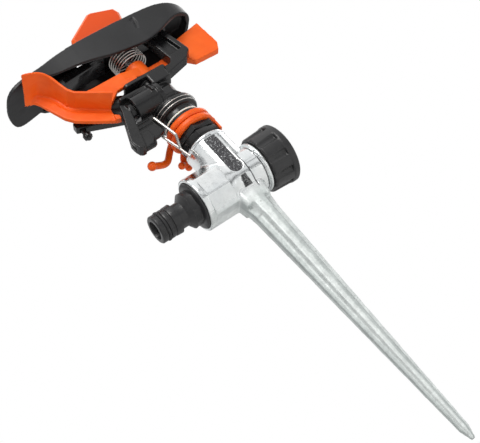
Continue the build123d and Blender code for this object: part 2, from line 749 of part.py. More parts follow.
with BuildPart() as hood_core:
    # the hollow inside, under the roof
    with BuildSketch(Plane.XY.offset(HOOD_BLANK_Z)):
        with BuildLine():
            Polyline(*HOLLOW_OUTLINE, close=True)
        make_face()
    extrude(amount=HOOD_BLANK_H)
    with BuildSketch(Plane.XZ):
        with BuildLine():
            Spline(*ROOF_UNDERSIDE)
            Line(ROOF_UNDERSIDE[-1], (ROOF[-1][0], HOLLOW_LOW_Z))
            Line((ROOF[-1][0], HOLLOW_LOW_Z), (ROOF[0][0], HOLLOW_LOW_Z))
            Line((ROOF[0][0], HOLLOW_LOW_Z), ROOF_UNDERSIDE[0])
        make_face()
    extrude(amount=HOOD_HALF_WIDTH, both=True, mode=Mode.INTERSECT)

with BuildPart() as hood:
    with BuildSketch(Plane.XY.offset(HOOD_BLANK_Z)):
        with BuildLine():
            Spline(*HOOD_OUTLINE, periodic=True)
        make_face()
    extrude(amount=HOOD_BLANK_H)
    with BuildSketch(Plane.XZ):
        with BuildLine():
            Spline(*ROOF)
            Line(ROOF[-1], PEAK_UNDERSIDE[0])
            Spline(*PEAK_UNDERSIDE)
            Line(PEAK_UNDERSIDE[-1], SKIRT_EDGE[0])
            Spline(*SKIRT_EDGE)
            Line(SKIRT_EDGE[-1], ROOF[0])
        make_face()
    extrude(amount=HOOD_HALF_WIDTH, both=True, mode=Mode.INTERSECT)
    add(hood_core.part, mode=Mode.SUBTRACT)
    # screw bosses under the roof
    with BuildSketch(Plane.XY.offset(BRIDGE_TOP_Z + 0.06)):
        with Locations(*HOOD_SCREWS):
            Circle(2.9)
    extrude(amount=7.0)
    with BuildSketch(Plane.XY.offset(BRIDGE_TOP_Z)):
        with Locations(*HOOD_SCREWS):
            Circle(1.3)
    extrude(amount=4.6, mode=Mode.SUBTRACT)
    # slot for the range lever
    with BuildSketch(Plane.XY.offset(100)):
        with Locations((3.8, 0)):
            RectangleRounded(40.0, 10.0, 2.0)
    extrude(amount=30, mode=Mode.SUBTRACT)
    # blind pivot holes of the range lever, inside both skirts
    with BuildSketch(Plane.XZ.offset(PIVOT_HOLE_Y)):
        with Locations(LEVER_PIVOT):
            Circle(1.66)
    extrude(amount=-2 * PIVOT_HOLE_Y, mode=Mode.SUBTRACT)
    # L-shaped marks outside, where the pivot snaps in
    for mark_y in PIVOT_MARK_Y:
        with BuildSketch(Plane.XZ.offset(-mark_y)):
            with BuildLine():
                Polyline(*PIVOT_MARK, close=True)
            make_face()
        extrude(amount=1.35, mode=Mode.SUBTRACT)
save(hood, "hood")

with BuildPart() as hood_screws:
    for screw_place in HOOD_SCREWS:
        # head under the bridge beam, then the shank
        with BuildSketch(Plane.XY.offset(BRIDGE_BEAM_Z - 2.0)):
            with Locations(screw_place):
                Circle(2.7)
        extrude(amount=1.9)
        with BuildSketch(Plane.XY.offset(BRIDGE_BEAM_Z - 0.5)):
            with Locations(screw_place):
                Circle(1.25)
        extrude(amount=8.6)
save(hood_screws, "hood_screws")

# ============================================================ RANGE LEVER
LEVER_WIDTH = 8.8
# x, z: fin above the roof
LEVER_FIN = [
    (14.9, 112.9), (18.4, 125.0), (17.9, 128.9), (0.4, 140.0), (-2.2, 140.2),
    (-14.9, 135.4), (-16.3, 131.0), (-14.6, 124.0), (-14.2, 112.9),
]
LEVER_FOOT = [(10.9, 111.25), (15.4, 111.25), (15.4, 114.2), (10.9, 114.2)]

with BuildPart() as range_lever:
    with BuildSketch(Plane.XZ.offset(-LEVER_WIDTH / 2)):
        with BuildLine():
            Polyline(*LEVER_FIN, close=True)
        make_face()
    extrude(amount=LEVER_WIDTH)
    # sloping shoulders of the fin, both faces
    chamfer(faces().filter_by(Axis.Y).edges(), 1.6)
    # +X foot, on the cross plate under the roof
    with BuildSketch(Plane.XZ.offset(-LEVER_WIDTH / 2)):
        with BuildLine():
            Polyline(*LEVER_FOOT, close=True)
        make_face()
    extrude(amount=LEVER_WIDTH)
save(range_lever, "range_lever")

FLAP_Z = 108.6  # underside of the cross plate
FLAP_SIDE_Y = 6.0  # +Y edge of the blade
# x, z: side arm from the cross plate back to the pivot
FLAP_ARM = [
    (15.4, FLAP_Z), (15.4, 111.2), (-12.0, 112.0), (-15.6, 110.6), (-15.6, FLAP_Z),
    (-13.0, 107.0),
]
# x, z: blade over the jet, and its stiffening rib
FLAP_BLADE = [
    (10.9, 108.8), (10.9, 106.7), (30.0, 106.0), (49.6, 104.6), (49.6, 106.2),
    (30.0, 107.8), (17.0, 108.8),
]
FLAP_RIB = [(20.0, 106.5), (38.0, 105.5), (38.0, 102.6), (20.0, 104.0)]

with BuildPart() as deflector_flap:
    # cross plate under the foot of the fin
    with BuildSketch(Plane.XY.offset(FLAP_Z)):
        with Locations((13.15, 0)):
            Rectangle(4.5, 25.4)
    extrude(amount=2.6)
    # side arm and pivot stub on each side, from their -Y faces
    for arm_y, stub_y in ((-12.7, -14.6), (11.0, 12.6)):
        with BuildSketch(Plane.XZ.offset(-arm_y)):
            with BuildLine():
                Polyline(*FLAP_ARM, close=True)
            make_face()
        extrude(amount=-1.7)
        with BuildSketch(Plane.XZ.offset(-stub_y)):
            with Locations(LEVER_PIVOT):
                Circle(1.6)
        extrude(amount=-2.0)
    # blade, then the stiffening rib along its +Y edge
    for profile, width in ((FLAP_BLADE, 15.0), (FLAP_RIB, 1.4)):
        with BuildSketch(Plane.XZ.offset(-FLAP_SIDE_Y)):
            with BuildLine():
                Polyline(*profile, close=True)
            make_face()
        extrude(amount=width)
save(deflector_flap, "deflector_flap")

# ============================================================ TRIP LEVER
# slanted lever beside the nozzle root, pivoting on the trip pin
CHEEK_Y = 9.2  # +Y face of the cheek
CLAMP_X, CLAMP_Z = 15.4, 52.2  # where the cheek grips the wire
# all x, z
TRIP_HORN = [(20.6, 62.0), (20.6, 68.9), (25.4, 68.9), (26.8, 64.4), (26.6, 60.0)]
TRIP_PLATE = [
    (22.4, 64.0), (27.2, 64.0), (34.3, 45.6), (34.0, 42.0), (33.0, 39.2),
    (31.6, 38.2), (29.6, 38.2),
]
TRIP_GROOVE = [(28.2, 58.0), (32.6, 46.4), (32.6, 41.4), (36.0, 41.4), (36.0, 58.0)]
TRIP_CHEEK = [
    (26.4, 55.4), (14.0, 55.4), (13.6, 49.4), (15.0, 43.0), (18.4, 41.6),
    (21.4, 41.4), (22.4, 38.8), (24.0, 38.0), (31.6, 38.2), (31.6, 46.0),
]
CHEEK_PAD = [(29.0, 47.6), (22.0, 47.6), (21.8, 42.2), (24.2, 38.9), (29.8, 38.6)]
CHEEK_RIB_X, CHEEK_RIB_END_X = 17.4, 26.0
CHEEK_RIB_H = 0.9

with BuildPart() as trip_lever:
    # hub against the trip housing
    with BuildSketch(Plane.YZ.offset(20.45)):
        with Locations((TRIP_Y, TRIP_Z)):
            Circle(4.8)
    extrude(amount=2.6)
    # upper horn, then the lower plate that leans towards +X
    for profile, face_y, width in ((TRIP_HORN, 11.0, 2.2), (TRIP_PLATE, 12.6, 7.4)):
        with BuildSketch(Plane.XZ.offset(-face_y)):
            with BuildLine():
                Polyline(*profile, close=True)
            make_face()
        extrude(amount=width)
    # groove along the +X face that leaves two thin walls
    with BuildSketch(Plane.XZ.offset(-10.6)):
        with BuildLine():
            Polyline(*TRIP_GROOVE, close=True)
        make_face()
    extrude(amount=3.2, mode=Mode.SUBTRACT)
    # cheek on the -X side with the rounded tab and the wire clamp
    with BuildSketch(Plane.XZ.offset(-CHEEK_Y)):
        with BuildLine():
            Polyline(*TRIP_CHEEK, close=True)
        make_face()
    extrude(amount=2.4)
    # rounded pad on the +Y face of the cheek
    with BuildSketch(Plane.XZ.offset(-CHEEK_Y)):
        with BuildLine():
            FilletPolyline(*CHEEK_PAD, radius=1.2, close=True)
        make_face()
    extrude(amount=-1.3)
    # two ribs across the cheek
    for low_z in (50.6, 53.2):
        with BuildSketch(Plane.XZ.offset(-CHEEK_Y)):
            with BuildLine():
                Polyline(
                    (CHEEK_RIB_X, low_z),
                    (CHEEK_RIB_END_X, low_z),
                    (CHEEK_RIB_END_X, low_z + CHEEK_RIB_H),
                    (CHEEK_RIB_X, low_z + CHEEK_RIB_H),
                    close=True,
                )
            make_face()
        extrude(amount=-0.8)
    # bore for the pin
    with BuildSketch(Plane.YZ.offset(19.0)):
        with Locations((TRIP_Y, TRIP_Z)):
            Circle(TRIP_PIN_R + 0.02)
    extrude(amount=10.0, mode=Mode.SUBTRACT)
    # hole that grips the wire
    with BuildSketch(Plane.XZ.offset(-10.0)):
        with Locations((CLAMP_X, CLAMP_Z)):
            Circle(0.86)
    extrude(amount=6.0, mode=Mode.SUBTRACT)
save(trip_lever, "trip_lever")

with BuildPart() as trip_pin:
    with BuildSketch(Plane.YZ.offset(9.6)):
        with Locations((TRIP_Y, TRIP_Z)):
            Circle(TRIP_PIN_R)
    extrude(amount=16.6)
save(trip_pin, "trip_pin")

coil_spring(
    "trip_spring",
    wire_r=0.4,
    pitch=1.1,
    height=3.3,
    radius=2.9,
    center=(16.4, TRIP_Y, TRIP_Z),
    direction=(1, 0, 0),
)

# wire loop that the collar fingers push
MAIN_STRAND = [
    (CLAMP_X, 6.9, CLAMP_Z), (CLAMP_X, 10.6, CLAMP_Z), (12.2, 10.4, 36.4),
    (14.4, 7.2, 29.0), (13.6, 8.6, 21.8),
]
RETURN_STRAND = [(14.3, 7.3, 29.4), (16.5, 5.55, 41.4), (16.8, 5.55, 50.5)]

with BuildPart() as trip_wire:
    for strand, bend_r in ((MAIN_STRAND, 0.9), (RETURN_STRAND, 1.0)):
        with BuildLine() as strand_line:
            FilletPolyline(*strand, radius=bend_r)
        with BuildSketch(plane_at_start(strand_line.line)):
            Circle(0.8)
        sweep(is_frenet=False)
save(trip_wire, "trip_wire")

# ============================================================= DRIVE ARM
# strut from the hub along the +Y side of the nozzle: plan (x, y) and side (x, z)
STRUT_PLAN = [
    (-1.0, 6.0), (12.0, 9.6), (47.4, 9.6), (47.4, 6.6), (16.0, 6.6), (5.0, 1.0),
    (-1.0, 1.0),
]
STRUT_SIDE = [
    (-2.0, 82.2), (28.0, 82.4), (38.0, 84.0), (47.6, 87.0), (48.6, 92.0),
    (40.0, 89.8), (30.0, 88.4), (-2.0, 88.4),
]

with BuildPart() as arm_strut:
    with BuildSketch(Plane.XY.offset(80)):
        with BuildLine():
            Polyline(*STRUT_PLAN, close=True)
        make_face()
    extrude(amount=12)
    with BuildSketch(Plane.XZ):
        with BuildLine():
            Polyline(*STRUT_SIDE, close=True)
        make_face()
    extrude(amount=20, both=True, mode=Mode.INTERSECT)

# L-section beam that grows into the spoon; each row is the lower edge of the
# web, the inner corner, and the +Y edge of the flange
BEAM = [
    ((31.2, 8.0, 62.9), (29.3, 8.0, 71.2), (27.0, 20.5, 71.6)),
    ((40.8, 8.0, 69.3), (37.5, 8.0, 78.0), (35.9, 20.2, 78.3)),
    ((49.2, 8.0, 75.8), (44.6, 8.0, 83.6), (43.2, 20.0, 83.7)),
    ((52.6, 8.0, 80.4), (47.0, 8.0, 87.2), (45.4, 20.0, 87.4)),
    ((55.9, 8.0, 89.6), (48.9, 8.0, 93.6), (47.1, 20.2, 94.0)),
    ((57.8, 7.6, 96.0), (51.4, 8.0, 98.0), (48.8, 21.4, 99.4)),
    ((59.6, 7.4, 99.6), (55.6, 8.6, 101.8), (52.0, 23.4, 102.8)),
    ((62.2, 7.4, 100.4), (59.8, 11.2, 102.2), (56.6, 24.6, 104.8)),
    ((65.0, 7.8, 100.9), (63.8, 12.6, 102.4), (61.4, 25.4, 106.0)),
]
SPOON_ROW = 4  # first row of the smoothed part
BEAM_WALL = 1.5
WEB_PAD = 0.9  # extra thickness of the web's outer two thirds
WEB_PAD_MIN = 0.12
PAD_TAPER_Z = 88  # corner height where the pad starts to thin out
PAD_TAPER_RISE = 9.0
WEB_STEP = 0.34  # share of the web between the corner and the pad


def section_frame(low, corner, edge):
    """Plane through three points, with its origin at the corner, its x axis
    towards the edge and its y axis away from the low point. Also returns the
    low point in that plane and the distance from corner to edge."""
    low, corner, edge = Vector(*low), Vector(*corner), Vector(*edge)
    x_dir = (edge - corner).normalized()
    z_dir = x_dir.cross((corner - low)).normalized()
    y_dir = z_dir.cross(x_dir)
    plane = Plane(origin=corner, x_dir=x_dir, z_dir=z_dir)
    web = low - corner
    return plane, (web.dot(x_dir), web.dot(y_dir)), (edge - corner).length


def smooth_rows(rows, steps):
    """Catmull-Rom rows between the given rows, ends included."""
    smoothed = []
    for i in range(len(rows) - 1):
        quad = [rows[max(i - 1, 0)], rows[i], rows[i + 1], rows[min(i + 2, len(rows) - 1)]]
        for k in range(steps):
            t = k / steps
            weights = (
                -0.5 * t + t * t - 0.5 * t**3,
                1 - 2.5 * t * t + 1.5 * t**3,
                0.5 * t + 2 * t * t - 1.5 * t**3,
                -0.5 * t * t + 0.5 * t**3,
            )
            smoothed.append(
                tuple(
                    tuple(sum(weights[j] * quad[j][p][c] for j in range(4)) for c in range(3))
                    for p in range(3)
                )
            )
    smoothed.append(rows[-1])
    return smoothed


with BuildPart() as arm_beam:
    for low, corner, edge in BEAM[:SPOON_ROW] + smooth_rows(BEAM[SPOON_ROW:], 5):
        frame, (web_x, web_y), reach = section_frame(low, corner, edge)
        pad = WEB_PAD
        if corner[2] >= PAD_TAPER_Z:
            thinning = WEB_PAD * (corner[2] - PAD_TAPER_Z) / PAD_TAPER_RISE
            pad = max(WEB_PAD_MIN, WEB_PAD - thinning)
        with BuildSketch(frame):
            with BuildLine():
                Polyline(
                    (web_x + pad, web_y),
                    (web_x * WEB_STEP + pad, web_y * WEB_STEP),
                    (web_x * WEB_STEP, web_y * WEB_STEP),
                    (0, 0),
                    (reach, 0),
                    (reach, BEAM_WALL),
                    (-BEAM_WALL, BEAM_WALL),
                    (web_x - BEAM_WALL, web_y),
                    close=True,
                )
            make_face()
    loft(ruled=True)

# x, z: gusset between the strut and the beam, over the shelf
ARM_GUSSET = [
    (6.0, 82.6), (6.0, 79.2), (19.8, 79.2), (26.0, 74.6), (31.6, 73.6), (41.0, 81.6),
    (41.0, 85.4), (30.0, 82.8),
]
# x, z: hook at the root of the beam
ARM_HOOK = [(31.6, 62.8), (28.9, 61.8), (28.5, 64.4), (30.9, 66.4)]
# x, z: bar towards -X beside the upright, with its raised end
ARM_REAR_BAR = [
    (0, 82.2), (-12.0, 82.2), (-26.0, 82.2), (-30.0, 84.0), (-30.0, 91.0),
    (-26.0, 89.4), (-14.0, 88.6), (0, 88.2),
]
# x, z: counterweight tail
ARM_TAIL = [
    (-30.4, 95.8), (-48.6, 99.4), (-49.6, 81.0), (-46.9, 76.2), (-31.6, 77.0),
    (-27.0, 82.2), (-27.0, 89.0),
]
# profile, y of the +Y face, width
ARM_PLATES = (
    (ARM_GUSSET, 9.6, 2.8),
    (ARM_HOOK, 10.6, 3.8),
    (ARM_REAR_BAR, 1.6, 6.4),
    (ARM_TAIL, 1.6, 4.4),
)

with BuildPart() as drive_arm:
    # hub
    with BuildSketch(Plane.XY.offset(ARM_Z)):
        Circle(6.5)
    extrude(amount=11.0)
    add(arm_strut.part)
    add(arm_beam.part)
    for profile, face_y, width in ARM_PLATES:
        with BuildSketch(Plane.XZ.offset(-face_y)):
            with BuildLine():
                Polyline(*profile, close=True)
            make_face()
        extrude(amount=width)
    # bore for the bushing
    with BuildSketch(Plane.XY.offset(80.0)):
        Circle(BUSHING_R + 0.02)
    extrude(amount=20.0, mode=Mode.SUBTRACT)
save(drive_arm, "drive_arm")

ring_piece(
    "arm_bushing",
    Plane.XY.offset(ARM_Z + 0.1),
    outer_r=BUSHING_R,
    inner_r=PIN_BORE_R,
    thickness=10.8,
)

# ============================================================= JET SCREW
KNURL_COUNT = 6
# z, radius, length: neck below the head, threaded shank, fine tip
JET_SCREW_STEPS = ((67.2, 1.2, 1.4), (70.6, 1.5, 12.0), (82.4, 0.9, 3.8))

with BuildPart() as jet_screw:
    # head with scallops round it
    with BuildSketch(Plane.XY.offset(JET_SCREW_HEAD_Z)):
        with Locations((JET_SCREW_X, 0)):
            Circle(2.5)
    extrude(amount=JET_SCREW_HEAD_H)
    for k in range(KNURL_COUNT):
        knurl_x, knurl_y = polar(2.75, 360 / KNURL_COUNT * k)
        with BuildSketch(Plane.XY.offset(JET_SCREW_HEAD_Z)):
            with Locations((JET_SCREW_X + knurl_x, knurl_y)):
                Circle(0.6)
        extrude(amount=JET_SCREW_HEAD_H, mode=Mode.SUBTRACT)
    for level, radius, length in JET_SCREW_STEPS:
        with BuildSketch(Plane.XY.offset(level)):
            with Locations((JET_SCREW_X, 0)):
                Circle(radius)
        extrude(amount=length)
save(jet_screw, "jet_screw")
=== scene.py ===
"""A garden sprinkler on a cast ground spike.
"""
import math

import bpy
from mathutils import Matrix, Vector


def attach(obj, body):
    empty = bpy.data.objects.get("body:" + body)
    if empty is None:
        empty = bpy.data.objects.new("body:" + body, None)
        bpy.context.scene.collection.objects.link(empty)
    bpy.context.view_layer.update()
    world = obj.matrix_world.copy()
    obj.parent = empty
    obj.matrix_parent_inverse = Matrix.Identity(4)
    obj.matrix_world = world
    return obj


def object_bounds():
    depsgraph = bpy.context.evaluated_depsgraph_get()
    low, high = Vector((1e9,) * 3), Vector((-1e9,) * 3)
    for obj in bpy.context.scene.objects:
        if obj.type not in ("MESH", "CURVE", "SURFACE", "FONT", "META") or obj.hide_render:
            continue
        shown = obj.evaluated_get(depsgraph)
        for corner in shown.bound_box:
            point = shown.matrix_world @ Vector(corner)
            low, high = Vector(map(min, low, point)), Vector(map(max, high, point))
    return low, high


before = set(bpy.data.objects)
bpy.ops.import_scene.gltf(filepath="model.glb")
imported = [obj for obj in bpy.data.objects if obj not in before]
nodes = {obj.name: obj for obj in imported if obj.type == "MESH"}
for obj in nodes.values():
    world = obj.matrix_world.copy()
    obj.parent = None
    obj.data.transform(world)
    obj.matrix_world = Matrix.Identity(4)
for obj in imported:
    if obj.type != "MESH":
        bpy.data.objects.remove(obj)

cad_low, cad_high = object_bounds()
MM = 0.001


def mm(*values):
    """Millimetres to metres, as a tuple."""
    return tuple(value * MM for value in values)


def link_object(name, data):
    obj = bpy.data.objects.new(name, data)
    bpy.context.scene.collection.objects.link(obj)
    return obj


# ------------------------------------------------------------ node helpers
class Nodes:
    """A node tree of any kind, with short calls. Values may be numbers, colours or sockets."""

    def __init__(self, tree):
        self.tree = tree

    def add(self, kind, **settings):
        node = self.tree.nodes.new(kind)
        for key, value in settings.items():
            setattr(node, key, value)
        return node

    def link(self, source, target):
        self.tree.links.new(source, target)

    def put(self, socket, value):
        if hasattr(value, "is_output"):
            self.link(value, socket)
        elif isinstance(value, (tuple, list)) and len(value) == 3 and socket.type == "RGBA":
            socket.default_value = (*value, 1.0)
        else:
            socket.default_value = value

    def remap(self, value, span=(0.3, 0.7), to=(0.0, 1.0), smooth=False):
        """Map span onto to, clamped; the default span is the usual range of a noise."""
        node = self.add(
            "ShaderNodeMapRange",
            interpolation_type="SMOOTHSTEP" if smooth else "LINEAR",
        )
        for i, number in enumerate((value, *span, *to)):
            self.put(node.inputs[i], number)
        return node.outputs[0]

    def math(self, operation, a, b=0.0, clamp=False):
        node = self.add("ShaderNodeMath", operation=operation, use_clamp=clamp)
        self.put(node.inputs[0], a)
        self.put(node.inputs[1], b)
        return node.outputs[0]

    def plus(self, a, b, clamp=False):
        return self.math("ADD", a, b, clamp)

    def times(self, first, *others, clamp=False):
        for other in others:
            first = self.math("MULTIPLY", first, other, clamp)
        return first

    def distance(self, a, b):
        """Length of the two-dimensional vector (a, b)."""
        return self.math("SQRT", self.plus(self.times(a, a), self.times(b, b)))

    def join(self, share, a, b):
        """Shader a, replaced by shader b as share goes from 0 to 1."""
        node = self.add("ShaderNodeMixShader")
        for i, source in enumerate((share, a, b)):
            self.link(source, node.inputs[i])
        return node.outputs[0]


class Graph(Nodes):
    """One material's nodes. Lengths are in mm; noise and cell scales are per metre."""

    def __init__(self, name):
        self.mat = bpy.data.materials.new(name)
        self.mat.use_nodes = True
        super().__init__(self.mat.node_tree)
        self.tree.nodes.clear()
        self.out = self.add("ShaderNodeOutputMaterial")
        self.bsdf = self.add("ShaderNodeBsdfPrincipled")
        self.link(self.bsdf.outputs[0], self.out.inputs["Surface"])
        self.coord = self.add("ShaderNodeTexCoord").outputs["Object"]
        self.normal = self.add("ShaderNodeNewGeometry").outputs["Normal"]

    def noise(self, scale=1, detail=3.0, rough=0.55, warp=0.0, stretch=None, turned=(0, 0, 0)):
        """Noise; stretch gives a scale for each axis, after the turn in radians."""
        vector = self.coord
        if stretch:
            mapping = self.add("ShaderNodeMapping")
            self.link(self.coord, mapping.inputs["Vector"])
            mapping.inputs["Scale"].default_value = stretch
            mapping.inputs["Rotation"].default_value = turned
            vector = mapping.outputs[0]
        node = self.add("ShaderNodeTexNoise")
        self.link(vector, node.inputs["Vector"])
        node.inputs["Scale"].default_value = scale
        node.inputs["Detail"].default_value = detail
        node.inputs["Roughness"].default_value = rough
        node.inputs["Distortion"].default_value = warp
        return node.outputs["Fac"]

    def cells(self, scale, feature="F1"):
        node = self.add("ShaderNodeTexVoronoi", feature=feature)
        self.link(self.coord, node.inputs["Vector"])
        node.inputs["Scale"].default_value = scale
        return node.outputs["Distance"]

    def mix(self, share, a, b, mode="MIX"):
        node = self.add("ShaderNodeMix", data_type="RGBA", blend_type=mode)
        self.put(node.inputs[0], share)
        self.put(node.inputs[6], a)
        self.put(node.inputs[7], b)
        return node.outputs[2]

    def coat(self, color, mask, paint, share):
        """Lay paint over color where mask is 1, at the given share."""
        return self.mix(self.times(mask, share), color, paint)

    def relief(self, *layers):
        """Stacked bumps, each (height, strength, depth), finest first."""
        normal = None
        for height, strength, depth in layers:
            node = self.add("ShaderNodeBump")
            node.inputs["Strength"].default_value = strength
            node.inputs["Distance"].default_value = depth * MM
            self.link(height, node.inputs["Height"])
            if normal is not None:
                self.link(normal, node.inputs["Normal"])
            normal = node.outputs[0]
        return normal

    def split(self, vector=None):
        node = self.add("ShaderNodeSeparateXYZ")
        self.link(vector or self.coord, node.inputs[0])
        return node.outputs

    def box(self, soft, *spans):
        """1 inside a soft-edged box; each span is (axis output, low, high)."""
        total = None
        soft *= MM
        for axis, low, high in spans:
            low, high = mm(low, high)
            rise = self.remap(axis, span=(low - soft, low + soft))
            fall = self.remap(axis, span=(high + soft, high - soft))
            inside = self.times(rise, fall)
            total = inside if total is None else self.times(total, inside)
        return total

    def edges(self, radius):
        """1 where the surface turns sharply within radius."""
        bevel = self.add("ShaderNodeBevel", samples=4)
        bevel.inputs["Radius"].default_value = radius * MM
        dot = self.add("ShaderNodeVectorMath", operation="DOT_PRODUCT")
        self.link(bevel.outputs[0], dot.inputs[0])
        self.link(self.normal, dot.inputs[1])
        turned = self.math("SUBTRACT", 1.0, dot.outputs["Value"])
        return self.remap(turned, span=(0.02, 0.22))

    def rubbed(self, radius):
        """Sharp edges, broken up into patches of wear."""
        patches = self.remap(self.noise(scale=420), span=(0.35, 0.62))
        return self.times(self.edges(radius), patches)

    def corners(self, reach, span, inside=False):
        """1 deep in a corner; span is the openness at which the mask is 0 and 1."""
        node = self.add("ShaderNodeAmbientOcclusion", samples=6, only_local=inside)
        node.inputs["Distance"].default_value = reach * MM
        return self.remap(node.outputs["AO"], span=span)

    def finish(self, color, rough, normal, **more):
        self.put(self.bsdf.inputs["Base Color"], color)
        self.put(self.bsdf.inputs["Roughness"], rough)
        self.link(normal, self.bsdf.inputs["Normal"])
        for key, value in more.items():
            self.put(self.bsdf.inputs[key.replace("_", " ")], value)
        return self.mat


# --------------------------------------------------------------- cast zinc
LIT_BAND_ANGLE = 1.13  # radians from +X to the middle of one of the four painted lit bands
NECK_LINES = (-4.55, -12.15)  # x of the dark parting lines, mm
NECK_LINE_HALF = 0.32


def spike_skin(g, x, y, cloud):
    """Mottled grey of the spike, with four painted lit bands down its length and painted shade on
    the fin flanks, in the valleys and beside the bands.
    """
    skin = g.mix(
        g.remap(cloud, span=(0.35, 0.7)), (0.62, 0.665, 0.655), (0.73, 0.775, 0.762)
    )
    # painted shade: the flanks of the fins are darker than their crests, as faces turned from the
    # light
    across = g.math("ABSOLUTE", g.split(g.normal)[0])
    flank_shade = g.remap(across, span=(0.45, 0.85), smooth=True)
    skin = g.coat(skin, flank_shade, (0.40, 0.44, 0.435), share=0.12)
    # angle from the middle of the nearest band
    turn = g.plus(g.math("ARCTAN2", y, x), 2 * math.pi - LIT_BAND_ANGLE + math.pi / 4)
    turn = g.math("MODULO", turn, math.pi / 2)
    aside = g.math("ABSOLUTE", g.math("SUBTRACT", turn, math.pi / 4))
    aside = g.plus(aside, g.remap(g.noise(scale=120), to=(-0.06, 0.06)))
    # painted highlight and shade: the pale bands stand in for lit fin faces, and the grey beside
    # them for fin faces in shade
    lit_band = g.remap(aside, span=(0.58, 0.36), smooth=True)
    band_shade = g.math("SUBTRACT", 1.0, lit_band)
    skin = g.coat(skin, band_shade, (0.40, 0.435, 0.43), share=0.48)
    skin = g.coat(skin, lit_band, (0.84, 0.875, 0.865), share=0.60)
    # painted shade: the valleys of the spike are darkened where light is hidden
    valley_shade = g.corners(reach=5.0, span=(0.92, 0.55), inside=True)
    return g.coat(skin, valley_shade, (0.46, 0.50, 0.495), share=0.18)


def riser_panel(g, x, y, z):
    """Mask of the panel on the +Y side of the riser, with a round lower end."""
    drop = g.math("MINIMUM", g.math("SUBTRACT", z, 1.2 * MM), 0.0)
    outline = g.remap(g.distance(x, drop), span=mm(3.75, 3.35))
    return g.times(outline, g.box(0.25, (y, 10.4, 30), (z, -9.0, 24)))


def small_recess(g, x, y, z):
    """Mask of the tapered recess below the panel, narrower at the top."""
    taper = mm(-10.4, -5.0)
    stain = g.box(0.2, (x, -2.5, 2.5), (y, 7.0, 14), (z, -10.6, -5.0))
    outer = g.remap(z, span=taper, to=mm(2.7, 1.7))
    inner = g.remap(z, span=taper, to=mm(2.3, 1.3))
    sides = g.remap(g.math("ABSOLUTE", x), span=(outer, inner))
    broken = g.remap(
        g.noise(scale=1500, rough=0.7), span=(0.30, 0.52), to=(0.55, 1.0)
    )
    return g.times(stain, sides, broken)


